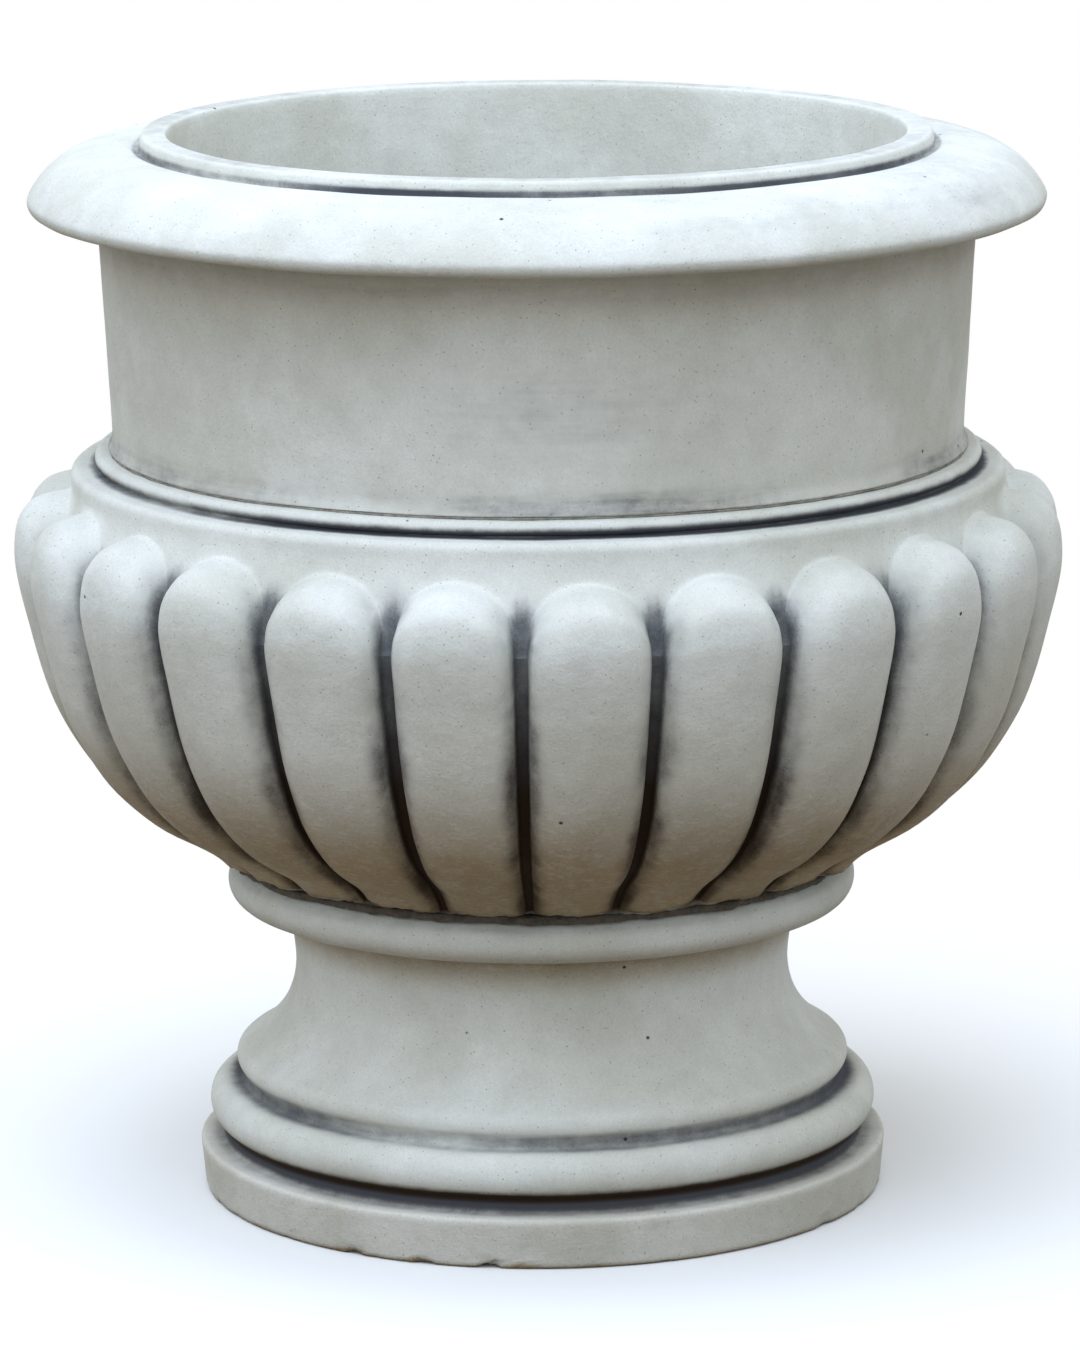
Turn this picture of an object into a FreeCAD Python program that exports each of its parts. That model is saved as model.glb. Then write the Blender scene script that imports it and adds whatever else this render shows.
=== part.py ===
"""Urn planter in cast stone: a footed bowl with gadroons, a straight neck and a rolled rim.

The urn stands on its foot at Z = 0 and turns about the Z axis, with lengths in millimetres.
Three castings are stacked on two mortar beds and pinned through them:
foot, gadrooned bowl, neck with rim.
"""
import FreeCAD, Part
import Sketcher
import math
import os

doc = FreeCAD.newDocument("urn_planter")

# ---------------------------------------------------------------------------
# Driving dimensions: alias, value, what it measures
# ---------------------------------------------------------------------------
SIZES = [
    # foot, from the ground up
    ("plinth_height", 38.0, "flat round block that the urn stands on"),
    ("plinth_base_radius", 255.5, "plinth at the ground"),
    ("plinth_radius", 259.0, "plinth at its upper edge, where the mould drafts outwards"),
    ("plinth_edge_round", 3.0, "softened upper edge of the plinth"),
    ("plinth_slot_height", 11.0, "dark slot between plinth and lower torus"),
    ("plinth_slot_radius", 241.0, "floor of that slot"),
    ("lower_torus_height", 33.0, "lower torus of the foot, slot to slot"),
    ("lower_torus_bulge", 10.5, "how far the lower torus stands out of its slots"),
    ("lip_slot_height", 8.0, "dark slot under the lip of the cavetto"),
    ("lip_slot_radius", 226.5, "floor of that slot"),
    ("lip_height", 19.0, "rolled lip at the foot of the cavetto"),
    ("lip_bulge", 5.8, "how far the lip rolls out"),
    ("lip_top_radius", 224.0, "where the lip runs into the cavetto"),
    ("cavetto_low_height", 73.0, "cavetto from the lip up to the waist"),
    ("cavetto_low_hollow", 12.9, "depth of the hollow below the waist"),
    ("waist_radius", 186.0, "narrowest part of the foot"),
    ("cavetto_top_height", 38.0, "cavetto from the waist up to the upper torus"),
    ("cavetto_top_radius", 198.0, "where the cavetto meets the upper torus"),
    ("cavetto_top_hollow", 2.5, "depth of the hollow above the waist"),
    ("upper_torus_height", 32.0, "upper torus of the foot, up to the mortar bed"),
    ("upper_torus_seat_radius", 220.5, "flat top and underside of the upper torus"),
    ("upper_torus_bulge", 15.5, "how far the upper torus stands out"),
    ("foot_hollow_base_radius", 150.0, "open hollow of the foot at the ground"),
    ("foot_hollow_top_radius", 96.0, "roof of that hollow"),
    ("foot_web_thickness", 56.0, "solid top of the foot over the hollow"),
    # bowl
    ("foot_bed_thickness", 6.0, "mortar between foot and bowl"),
    ("foot_bed_radius", 227.0, "outside of that mortar bed, under the bowl"),
    ("foot_bed_inner_radius", 40.0, "hole in the mortar bed round the drain"),
    ("lobe_height", 274.0, "gadroons, from the bowl's underside to their domed tops"),
    ("lobe_base_radius", 239.0, "crest of the gadroons at the bowl's underside"),
    ("belly_radius", 391.0, "widest crest of the gadroons"),
    ("lobe_count", 24, "gadroons round the bowl"),
    ("first_lobe_angle", -84.55, "angle of the first gadroon about Z, from +X"),
    ("groove_depth", 25.0, "crest of a gadroon to the groove floor at the belly"),
    ("groove_base_depth", 9.0, "the same at the bowl's underside"),
    ("groove_width", 9.0, "floor between two gadroons at the belly"),
    ("spandrel_drop", 12.0, "gadroons' tops down to where the grooves turn out of the collar"),
    ("collar_height", 21.5, "smooth band above the gadroons"),
    ("collar_radius", 347.5, "face of that band"),
    ("collar_edge_round", 6.0, "rounded upper edge of the band"),
    ("collar_fall", 1.0, "fall of the band's top from the slot out to its edge"),
    ("bead_slot_height", 1.0, "dark slot under the bead"),
    ("bead_slot_radius", 324.8, "wall of that slot, and the flat top of the bead"),
    ("bead_height", 10.0, "bead that finishes the bowl, up to the mortar bed"),
    ("bead_bulge", 4.9, "how far the bead stands out of its slot"),
    ("well_radius", 322.0, "widest part of the planting well inside the bowl"),
    ("well_widest_drop", 86.5, "bowl's top edge down to that widest part"),
    ("well_straight_depth", 32.5, "straight part of the well at the bowl's top edge"),
    ("well_shoulder_bulge", 12.0, "roundness of the well under the neck"),
    ("well_bulge", 29.0, "roundness of the well towards its floor"),
    ("floor_edge_radius", 200.0, "edge of the well's floor"),
    ("floor_edge_rise", 54.0, "bowl's underside to that edge"),
    ("floor_thickness", 45.0, "bowl's underside to the floor at the drain"),
    # neck and rim
    ("neck_bed_thickness", 2.0, "mortar between bowl and neck"),
    ("neck_bed_setback", 1.0, "mortar bed set back from the faces it joins"),
    ("mouth_radius", 272.5, "straight inside of the neck and mouth"),
    ("neck_foot_radius", 320.5, "flared foot of the neck on the mortar bed"),
    ("neck_foot_height", 14.0, "height of that flare"),
    ("neck_foot_hollow", 1.6, "hollow of the flare"),
    ("neck_low_radius", 316.5, "neck above its flared foot"),
    ("neck_high_radius", 324.0, "neck under the rim"),
    ("neck_height", 156.5, "mortar bed up to the cove under the rim"),
    ("cove_height", 20.0, "cove between neck and soffit"),
    ("cove_reach", 18.0, "the same, measured outwards"),
    ("cove_hollow", 5.4, "depth of the cove"),
    ("nose_inner_radius", 367.0, "where the flat soffit meets the nose of the rim"),
    ("nose_height", 20.0, "soffit up to the shoulder of the nose"),
    ("nose_shoulder_radius", 375.5, "shoulder of the nose"),
    ("nose_bulge", 7.0, "roundness of the nose"),
    ("rim_slope_radius", 345.0, "where the rim's steep part eases"),
    ("rim_slope_height", 20.0, "nose shoulder up to there"),
    ("rim_slope_bulge", 2.2, "roundness of the steep part"),
    ("rim_top_radius", 299.0, "inner edge of the rim's upper face"),
    ("rim_top_height", 6.5, "eased part up to the inner edge"),
    ("rim_top_bulge", 2.3, "roundness of the eased part"),
    ("lip_groove_depth", 2.5, "dark groove at the foot of the mouth lip"),
    ("mouth_lip_height", 13.0, "groove floor to the top of the mouth lip"),
    ("mouth_lip_foot_radius", 294.0, "outside of the mouth lip at the groove"),
    ("mouth_lip_radius", 292.5, "outside of the mouth lip at its top"),
    ("mouth_lip_round", 3.2, "softened edges of the mouth lip"),
    # what holds the castings together
    ("dowel_radius", 6.0, "stainless pin through a mortar bed"),
    ("dowel_embed", 34.0, "pin's length in each casting"),
    ("dowel_clearance", 0.3, "grout film round a pin"),
    ("neck_dowel_circle", 297.0, "circle of the pins under the neck"),
    ("neck_dowel_count", 6, "pins under the neck"),
    ("foot_dowel_circle", 150.0, "circle of the pins on the foot"),
    ("foot_dowel_count", 4, "pins on the foot"),
    # drainage
    ("drain_radius", 12.5, "bore of the drain sleeve"),
    ("drain_wall", 3.5, "wall of the drain sleeve"),
    ("drain_flange_radius", 30.0, "flange of the sleeve in the bowl's floor"),
    ("drain_flange_thickness", 5.0, "thickness of that flange"),
    ("drain_clearance", 0.3, "gap round the sleeve and its flange"),
    ("drain_drip", 8.0, "sleeve hanging below the foot's web"),
    # reinforcing bars cast into the stone
    ("bar_radius", 4.0, "galvanised bar of the hoops"),
    ("rim_hoop_radius", 335.0, "hoop in the rim"),
    ("rim_hoop_rise", 23.0, "soffit up to that hoop"),
    ("collar_hoop_radius", 324.0, "hoop in the bowl behind the gadroons' tops"),
    ("collar_hoop_drop", 52.5, "bowl's top edge down to that hoop"),
    ("belly_hoop_radius", 274.0, "hoop low in the bowl"),
    ("belly_hoop_rise", 62.0, "bowl's underside up to that hoop"),
    ("plinth_hoop_radius", 208.0, "hoop in the plinth"),
    ("plinth_hoop_rise", 28.0, "ground up to that hoop"),
]

sheet = doc.addObject("Spreadsheet::Sheet", "Sizes")
for row, (alias, value, note) in enumerate(SIZES, start=1):
    sheet.set(f"A{row}", alias)
    sheet.set(f"B{row}", str(value))
    sheet.setAlias(f"B{row}", alias)
    sheet.set(f"C{row}", note)
doc.recompute()


class Length:
    """A length with its value and the formula that ties it to the sheet."""

    def __init__(self, value, formula):
        self.value = value
        self.formula = formula

    def __add__(self, other):
        return Length(self.value + other.value, f"({self.formula} + {other.formula})")

    def __sub__(self, other):
        return Length(self.value - other.value, f"({self.formula} - {other.formula})")

    def times(self, factor):
        """Scale the length."""
        return Length(self.value * factor, f"({self.formula} * {factor})")


def size(name):
    """Read a cell of the sheet by its alias. A length that is already read stays as it is."""
    if isinstance(name, Length):
        return name
    return Length(float(sheet.getContents(sheet.getCellFromAlias(name))), f"Sizes.{name}")


GROUND = Length(0.0, "0")


# ---------------------------------------------------------------------------
# Levels that more than one piece shares
# ---------------------------------------------------------------------------
def total(*parts):
    """Add lengths up, each given by its alias or as a length."""
    whole = size(parts[0])
    for part in parts[1:]:
        whole = whole + size(part)
    return whole


def less(whole, *parts):
    """Take lengths away from a length, each given by its alias or as a length."""
    whole = size(whole)
    for part in parts:
        whole = whole - size(part)
    return whole


SLOT_1 = total("plinth_height", "plinth_slot_height")
TORUS_1 = total(SLOT_1, "lower_torus_height")
SLOT_2 = total(TORUS_1, "lip_slot_height")
LIP_TOP = total(SLOT_2, "lip_height")
WAIST = total(LIP_TOP, "cavetto_low_height")
TORUS_2_BASE = total(WAIST, "cavetto_top_height")
FOOT_TOP = total(TORUS_2_BASE, "upper_torus_height")

BOWL_BASE = total(FOOT_TOP, "foot_bed_thickness")
LOBE_TOP = total(BOWL_BASE, "lobe_height")
COLLAR_TOP = total(LOBE_TOP, "collar_height")
BEAD_BASE = total(COLLAR_TOP, "bead_slot_height")
BOWL_TOP = total(BEAD_BASE, "bead_height")

NECK_BASE = total(BOWL_TOP, "neck_bed_thickness")
NECK_TOP = total(NECK_BASE, "neck_height")
SOFFIT = total(NECK_TOP, "cove_height")
NOSE_TOP = total(SOFFIT, "nose_height")
SLOPE_TOP = total(NOSE_TOP, "rim_slope_height")
RIM_TOP = total(SLOPE_TOP, "rim_top_height")
LIP_GROOVE = less(RIM_TOP, "lip_groove_depth")
MOUTH_TOP = total(LIP_GROOVE, "mouth_lip_height")

WEB_UNDERSIDE = less(FOOT_TOP, "foot_web_thickness")
FLOOR_AT_DRAIN = total(BOWL_BASE, "floor_thickness")
FLANGE_SEAT = less(FLOOR_AT_DRAIN, "drain_flange_thickness")
DRAIN_OUTER = total("drain_radius", "drain_wall")

RIM_HOOP_HEIGHT = total(SOFFIT, "rim_hoop_rise")
COLLAR_HOOP_HEIGHT = less(BOWL_TOP, "collar_hoop_drop")
BELLY_HOOP_HEIGHT = total(BOWL_BASE, "belly_hoop_rise")


# ---------------------------------------------------------------------------
# Outlines in the half plane of radius and height
# ---------------------------------------------------------------------------
def arc_middle(start, end, bulge):
    """Find the middle point of an arc that stands `bulge` to the right of its chord."""
    along = end - start
    right = FreeCAD.Vector(along.y, -along.x, 0).normalize()
    return (start + end) * 0.5 + right * bulge


def arc_radius(start, end, bulge):
    """Work out the radius of that arc from its ends and its bulge."""
    across = end[0] - start[0]
    rise = end[1] - start[1]
    half_chord_squared = f"({across.formula}^2 + {rise.formula}^2) / 4"
    value = (across.value ** 2 + rise.value ** 2) / 4 + bulge.value ** 2
    return Length(value / (2 * abs(bulge.value)),
                  f"({half_chord_squared} + {bulge.formula}^2) / (2 * abs({bulge.formula}))")


def end_at(sketch, edge, place):
    """Tell which end of a sketch edge lies at a place: 1 for its start, 2 for its end."""
    distances = [(sketch.getPoint(edge, end) - place).Length for end in (1, 2)]
    return 1 + distances.index(min(distances))


def draw_outline(body, name, corners):
    """Draw a closed outline on the body's XZ plane and tie it to the sheet.

    A corner is (radius, height) after a straight edge, (radius, height, bulge) after an
    arc, which bulges out of the solid where the bulge is positive, or a list of points
    for a smooth curve that runs through them. The solid lies to the left of the path.
    """
    sketch = body.newObject("Sketcher::SketchObject", name)
    plane = next(p for p in body.Origin.OriginFeatures if p.Role == "XZ_Plane")
    sketch.AttachmentSupport = [(plane, "")]
    sketch.MapMode = "FlatFace"

    places = []
    for corner in corners:
        if isinstance(corner, list):
            places.append(FreeCAD.Vector(corner[-1].x, corner[-1].z, 0))
        else:
            places.append(FreeCAD.Vector(corner[0].value, corner[1].value, 0))

    for index, corner in enumerate(corners):
        start, end = places[index - 1], places[index]
        if isinstance(corner, list):
            curve = Part.BSplineCurve()
            curve.interpolate([FreeCAD.Vector(p.x, p.z, 0) for p in corner])
            edge = curve
        elif len(corner) == 3:
            edge = Part.Arc(start, arc_middle(start, end, corner[2].value), end)
        else:
            edge = Part.LineSegment(start, end)
        sketch.addGeometry(edge, False)

    last = len(corners) - 1
    for index, corner in enumerate(corners):
        following = 0 if index == last else index + 1
        end = end_at(sketch, index, places[index])
        meets = end_at(sketch, following, places[index])
        sketch.addConstraint(Sketcher.Constraint("Coincident", index, end, following, meets))
        if isinstance(corner, list):
            sketch.addConstraint(Sketcher.Constraint("Block", index))
            continue
        if isinstance(corners[following], list):
            continue
        for kind, axis, amount in (("DistanceX", -2, corner[0]), ("DistanceY", -1, corner[1])):
            if amount.value == 0:
                sketch.addConstraint(Sketcher.Constraint("PointOnObject", index, end, axis))
                continue
            tie = sketch.addConstraint(
                Sketcher.Constraint(kind, -1, 1, index, end, amount.value))
            sketch.setExpression(f"Constraints[{tie}]", amount.formula)
        if len(corner) == 3:
            radius = arc_radius(corners[index - 1], corner, corner[2])
            tie = sketch.addConstraint(Sketcher.Constraint("Radius", index, radius.value))
            sketch.setExpression(f"Constraints[{tie}]", radius.formula)
    return sketch


def turned_body(name, corners):
    """Turn an outline about Z into a body."""
    body = doc.addObject("PartDesign::Body", name)
    sketch = draw_outline(body, name + "_outline", corners)
    turning = body.newObject("PartDesign::Revolution", name + "_turning")
    turning.Profile = sketch
    turning.ReferenceAxis = (sketch, ["V_Axis"])
    turning.Angle = 360
    body.Tip = turning
    doc.recompute()
    return body


def drill_circle(body, name, circle, base, depth, count):
    """Sink a circle of dowel holes into a body, each from `base` up by `depth`."""
    hole = body.newObject("PartDesign::SubtractiveCylinder", name)
    hole.setExpression("Radius", total("dowel_radius", "dowel_clearance").formula)
    hole.setExpression("Height", depth.formula)
    hole.setExpression("Placement.Base.x", size(circle).formula)
    hole.setExpression("Placement.Base.z", base.formula)
    body.Tip = hole
    doc.recompute()
    ring = body.newObject("PartDesign::PolarPattern", name + "_circle")
    ring.Originals = [hole]
    z_axis = next(p for p in body.Origin.OriginFeatures if p.Role == "Z_Axis")
    ring.Axis = (z_axis, [""])
    ring.Angle = 360
    ring.setExpression("Occurrences", size(count).formula)
    body.Tip = ring
    doc.recompute()


def leave_hoop_space(body, name, circle, height):
    """Leave the space in a casting that a cast-in hoop fills."""
    space = body.newObject("PartDesign::SubtractiveTorus", name)
    space.setExpression("Radius1", size(circle).formula)
    space.setExpression("Radius2", size("bar_radius").formula)
    space.setExpression("Placement.Base.z", height.formula)
    body.Tip = space
    doc.recompute()


def quarter_bulge(alias):
    """Give the bulge of a quarter-round edge with the named radius."""
    return size(alias).times(0.2929)


def hollow(alias):
    """Give a bulge that turns into the solid."""
    return size(alias).times(-1)


# ---------------------------------------------------------------------------
# Foot
# ---------------------------------------------------------------------------
foot = turned_body("foot", [
    (size("foot_hollow_base_radius"), GROUND),
    (size("plinth_base_radius"), GROUND),
    (size("plinth_radius"), less("plinth_height", "plinth_edge_round")),
    (less("plinth_radius", "plinth_edge_round"), size("plinth_height"),
     quarter_bulge("plinth_edge_round")),
    (size("plinth_slot_radius"), size("plinth_height")),
    (size("plinth_slot_radius"), SLOT_1),
    (size("plinth_slot_radius"), TORUS_1, size("lower_torus_bulge")),
    (size("lip_slot_radius"), TORUS_1),
    (size("lip_slot_radius"), SLOT_2),
    (size("lip_top_radius"), LIP_TOP, size("lip_bulge")),
    (size("waist_radius"), WAIST, hollow("cavetto_low_hollow")),
    (size("cavetto_top_radius"), TORUS_2_BASE, hollow("cavetto_top_hollow")),
    (size("upper_torus_seat_radius"), TORUS_2_BASE),
    (size("upper_torus_seat_radius"), FOOT_TOP, size("upper_torus_bulge")),
    (total(DRAIN_OUTER, "drain_clearance"), FOOT_TOP),
    (total(DRAIN_OUTER, "drain_clearance"), WEB_UNDERSIDE),
    (size("foot_hollow_top_radius"), WEB_UNDERSIDE),
])
drill_circle(foot, "foot_top_hole", "foot_dowel_circle",
             less(FOOT_TOP, "dowel_embed"), size("dowel_embed"), "foot_dowel_count")
leave_hoop_space(foot, "plinth_hoop_space", "plinth_hoop_radius", size("plinth_hoop_rise"))

# ---------------------------------------------------------------------------
# Bowl: a turned core with gadroons set round it
# ---------------------------------------------------------------------------
# The crest of a gadroon from the bowl's underside up and over its domed top. Each point
# is a share of the spread from base radius to belly radius, and of the lobe's height.
CREST_SHAPE = [
    (0.000, 0.000),
    (0.171, 0.066),
    (0.401, 0.139),
    (0.599, 0.239),
    (0.743, 0.354),
    (0.855, 0.485),
    (0.941, 0.661),
    (0.993, 0.828),
    (1.000, 0.894),
    (0.980, 0.927),
    (0.921, 0.958),
    (0.836, 0.980),
    (0.757, 0.994),
]
BELLY_POINTS = 8            # crest points below the widest one, where the floor runs along
FLOOR_STOP = 0.872          # share of the lobe's height at which the groove floor stops
CROWN_POWER = 2.7           # a gadroon's cross-section: 2 is an ellipse, more is squarer
DOME_POWER = 2.0            # the same over its domed top
SLICES = (-1.0, -0.965, -0.85, -0.58, 0.0, 0.58, 0.85, 0.965, 1.0)


def crest_points():
    """Work out the crest's points, and a last one inside the collar that it runs into."""
    spread = less("belly_radius", "lobe_base_radius").value
    points = []
    for across, rise in CREST_SHAPE:
        radius = size("lobe_base_radius").value + across * spread
        points.append(FreeCAD.Vector(radius, 0, BOWL_BASE.value + rise * size("lobe_height").value))
    inside = size("collar_radius").value - size("groove_depth").value / 3
    points.append(FreeCAD.Vector(inside, 0, LOBE_TOP.value))
    return points


def floor_points(sink):
    """Work out the groove floor's points, one for each point of the crest.

    The floor lies under the crest by the groove's depth, which eases towards the
    underside, and stops below the domed top. A sink takes it deeper.
    """
    crest = crest_points()
    base = BOWL_BASE.value
    rise = size("lobe_height").value
    shallow = size("groove_base_depth").value
    deep = size("groove_depth").value
    points = [FreeCAD.Vector(crest[0].x - shallow - sink, 0, base)]
    for index in range(1, BELLY_POINTS):
        along = (crest[index + 1] - crest[index - 1]).normalize()
        inward = FreeCAD.Vector(-along.z, 0, along.x)
        share = min(1.0, 2.2 * (crest[index].z - base) / rise)
        depth = shallow + (deep - shallow) * share + sink
        points.append(crest[index] + inward * depth)
    belly = points[-1]
    steps = len(crest) - BELLY_POINTS
    stop = base + FLOOR_STOP * rise
    for step in range(1, steps + 1):
        share = step / steps
        points.append(FreeCAD.Vector(belly.x - 0.4 * deep * share ** 2, 0,
                                     belly.z + (stop - belly.z) * share))
    return points


def smooth_edge(points):
    """Run a smooth edge through points."""
    curve = Part.BSplineCurve()
    curve.interpolate(points)
    return curve.toShape()


def gadroon_shape():
    """Loft one gadroon through slices that stand in planes through the Z axis."""
    sink = 0.12 * size("groove_depth").value
    crest = crest_points()
    flank = floor_points(sink)
    root = floor_points(3 * sink)
    gap = math.degrees(size("groove_width").value / less("belly_radius", "groove_depth").value)
    half_angle = (360 / size("lobe_count").value - gap) / 2
    slices = []
    for side in SLICES:
        skin = []
        for index, (low, high) in enumerate(zip(flank, crest)):
            power = CROWN_POWER if index < BELLY_POINTS else DOME_POWER
            crown = (1 - abs(side) ** power) ** (1 / power)
            skin.append(low + (high - low) * crown)
        wire = Part.Wire([
            smooth_edge(skin),
            Part.LineSegment(skin[-1], root[-1]).toShape(),
            smooth_edge(root[::-1]),
            Part.LineSegment(root[0], skin[0]).toShape(),
        ])
        wire.rotate(FreeCAD.Vector(), FreeCAD.Vector(0, 0, 1), side * half_angle)
        slices.append(wire)
    return Part.makeLoft(slices, True, False)


floor = floor_points(0)
DRAIN_HOLE = total(DRAIN_OUTER, "drain_clearance")
FLANGE_POCKET = total("drain_flange_radius", "drain_clearance")

core = turned_body("bowl_core", [
    (DRAIN_HOLE, BOWL_BASE),
    (less("lobe_base_radius", "groove_base_depth"), BOWL_BASE),
    floor,
    (size("collar_radius"), less(LOBE_TOP, "spandrel_drop")),
    (size("collar_radius"), less(COLLAR_TOP, "collar_fall", "collar_edge_round")),
    (less("collar_radius", "collar_edge_round"), less(COLLAR_TOP, "collar_fall"),
     quarter_bulge("collar_edge_round")),
    (size("bead_slot_radius"), COLLAR_TOP),
    (size("bead_slot_radius"), BEAD_BASE),
    (size("bead_slot_radius"), BOWL_TOP, size("bead_bulge")),
    (size("mouth_radius"), BOWL_TOP),
    (size("mouth_radius"), less(BOWL_TOP, "well_straight_depth")),
    (size("well_radius"), less(BOWL_TOP, "well_widest_drop"), hollow("well_shoulder_bulge")),
    (size("floor_edge_radius"), total(BOWL_BASE, "floor_edge_rise"), hollow("well_bulge")),
    (FLANGE_POCKET, FLOOR_AT_DRAIN),
    (FLANGE_POCKET, FLANGE_SEAT),
    (DRAIN_HOLE, FLANGE_SEAT),
])
drill_circle(core, "bowl_under_hole", "foot_dowel_circle",
             BOWL_BASE, size("dowel_embed"), "foot_dowel_count")
drill_circle(core, "bowl_top_hole", "neck_dowel_circle",
             less(BOWL_TOP, "dowel_embed"), size("dowel_embed"), "neck_dowel_count")
leave_hoop_space(core, "collar_hoop_space", "collar_hoop_radius", COLLAR_HOOP_HEIGHT)
leave_hoop_space(core, "belly_hoop_space", "belly_hoop_radius", BELLY_HOOP_HEIGHT)

gadroon = gadroon_shape()
gadroon.rotate(FreeCAD.Vector(), FreeCAD.Vector(0, 0, 1), size("first_lobe_angle").value)
lobes = []
for index in range(int(size("lobe_count").value)):
    lobe = gadroon.copy()
    turn = index * 360 / size("lobe_count").value
    lobe.rotate(FreeCAD.Vector(), FreeCAD.Vector(0, 0, 1), turn)
    lobes.append(lobe)
gadroons = doc.addObject("Part::Feature", "gadroons")
gadroons.Shape = Part.makeCompound(lobes)

bowl = doc.addObject("Part::Fuse", "gadrooned_bowl")
bowl.Base = core
bowl.Tool = gadroons
doc.recompute()

# ---------------------------------------------------------------------------
# Neck with rim
# ---------------------------------------------------------------------------
neck = turned_body("neck_and_rim", [
    (size("mouth_radius"), NECK_BASE),
    (size("neck_foot_radius"), NECK_BASE),
    (size("neck_low_radius"), total(NECK_BASE, "neck_foot_height"), hollow("neck_foot_hollow")),
    (size("neck_high_radius"), NECK_TOP),
    (total("neck_high_radius", "cove_reach"), SOFFIT, hollow("cove_hollow")),
    (size("nose_inner_radius"), SOFFIT),
    (size("nose_shoulder_radius"), NOSE_TOP, size("nose_bulge")),
    (size("rim_slope_radius"), SLOPE_TOP, size("rim_slope_bulge")),
    (size("rim_top_radius"), RIM_TOP, size("rim_top_bulge")),
    (size("mouth_lip_foot_radius"), LIP_GROOVE),
    (size("mouth_lip_radius"), less(MOUTH_TOP, "mouth_lip_round")),
    (less("mouth_lip_radius", "mouth_lip_round"), MOUTH_TOP, quarter_bulge("mouth_lip_round")),
    (total("mouth_radius", "mouth_lip_round"), MOUTH_TOP),
    (size("mouth_radius"), less(MOUTH_TOP, "mouth_lip_round"), quarter_bulge("mouth_lip_round")),
])
drill_circle(neck, "neck_under_hole", "neck_dowel_circle",
             NECK_BASE, size("dowel_embed"), "neck_dowel_count")
leave_hoop_space(neck, "rim_hoop_space", "rim_hoop_radius", RIM_HOOP_HEIGHT)

# ---------------------------------------------------------------------------
# Mortar beds
# ---------------------------------------------------------------------------
foot_bed = turned_body("foot_mortar_bed", [
    (size("foot_bed_inner_radius"), FOOT_TOP),
    (size("upper_torus_seat_radius"), FOOT_TOP),
    (size("foot_bed_radius"), BOWL_BASE),
    (size("foot_bed_inner_radius"), BOWL_BASE),
])
drill_circle(foot_bed, "foot_bed_hole", "foot_dowel_circle",
             FOOT_TOP, size("foot_bed_thickness"), "foot_dowel_count")

neck_bed = turned_body("neck_mortar_bed", [
    (total("mouth_radius", "neck_bed_setback"), BOWL_TOP),
    (less("neck_foot_radius", "neck_bed_setback"), BOWL_TOP),
    (less("neck_foot_radius", "neck_bed_setback"), NECK_BASE),
    (total("mouth_radius", "neck_bed_setback"), NECK_BASE),
])
drill_circle(neck_bed, "neck_bed_hole", "neck_dowel_circle",
             BOWL_TOP, size("neck_bed_thickness"), "neck_dowel_count")

# ---------------------------------------------------------------------------
# Dowels through the beds
# ---------------------------------------------------------------------------
def dowel_set(name, circle, count, under, bed):
    """Set a circle of dowels through a mortar bed whose underside is at `under`."""
    pins = []
    for index in range(int(size(count).value)):
        pin = doc.addObject("Part::Cylinder", f"{name}_{index + 1}")
        angle = f"({index} * 360 / {size(count).formula})"
        pin.setExpression("Radius", size("dowel_radius").formula)
        pin.setExpression("Height", total("dowel_embed", bed, "dowel_embed").formula)
        pin.setExpression("Placement.Base.x", f"{size(circle).formula} * cos({angle})")
        pin.setExpression("Placement.Base.y", f"{size(circle).formula} * sin({angle})")
        pin.setExpression("Placement.Base.z", less(under, "dowel_embed").formula)
        pins.append(pin)
    group = doc.addObject("Part::Compound", name)
    group.Links = pins
    return group


foot_dowels = dowel_set("foot_dowels", "foot_dowel_circle", "foot_dowel_count",
                        FOOT_TOP, "foot_bed_thickness")
neck_dowels = dowel_set("neck_dowels", "neck_dowel_circle", "neck_dowel_count",
                        BOWL_TOP, "neck_bed_thickness")


# ---------------------------------------------------------------------------
# Hoops cast into the stone
# ---------------------------------------------------------------------------
def hoop(name, circle, height):
    """Bend one bar into a hoop about Z."""
    bar = doc.addObject("Part::Torus", name)
    bar.setExpression("Radius1", size(circle).formula)
    bar.setExpression("Radius2", size("bar_radius").formula)
    bar.setExpression("Placement.Base.z", height.formula)
    return bar


rim_hoop = hoop("rim_hoop", "rim_hoop_radius", RIM_HOOP_HEIGHT)
plinth_hoop = hoop("plinth_hoop", "plinth_hoop_radius", size("plinth_hoop_rise"))
bowl_hoops = doc.addObject("Part::Compound", "bowl_hoops")
bowl_hoops.Links = [
    hoop("collar_hoop", "collar_hoop_radius", COLLAR_HOOP_HEIGHT),
    hoop("belly_hoop", "belly_hoop_radius", BELLY_HOOP_HEIGHT),
]

# ---------------------------------------------------------------------------
# Drain
# ---------------------------------------------------------------------------
drain = turned_body("drain_sleeve", [
    (size("drain_radius"), less(WEB_UNDERSIDE, "drain_drip")),
    (DRAIN_OUTER, less(WEB_UNDERSIDE, "drain_drip")),
    (DRAIN_OUTER, FLANGE_SEAT),
    (size("drain_flange_radius"), FLANGE_SEAT),
    (size("drain_flange_radius"), FLOOR_AT_DRAIN),
    (size("drain_radius"), FLOOR_AT_DRAIN),
])

# ---------------------------------------------------------------------------
# Check and write
# ---------------------------------------------------------------------------
PIECES = [
    foot, bowl, neck, foot_bed, neck_bed, foot_dowels, neck_dowels,
    rim_hoop, bowl_hoops, plinth_hoop, drain,
]

doc.recompute()
for item in doc.Objects:
    if "Invalid" in item.State or "Error" in item.State:
        raise RuntimeError(f"{item.Name} did not rebuild: {item.State}")
for piece in PIECES:
    piece.Label = piece.Name
    if piece.Shape.isNull() or not piece.Shape.isValid():
        raise RuntimeError(f"{piece.Label} has no valid shape")

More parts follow.
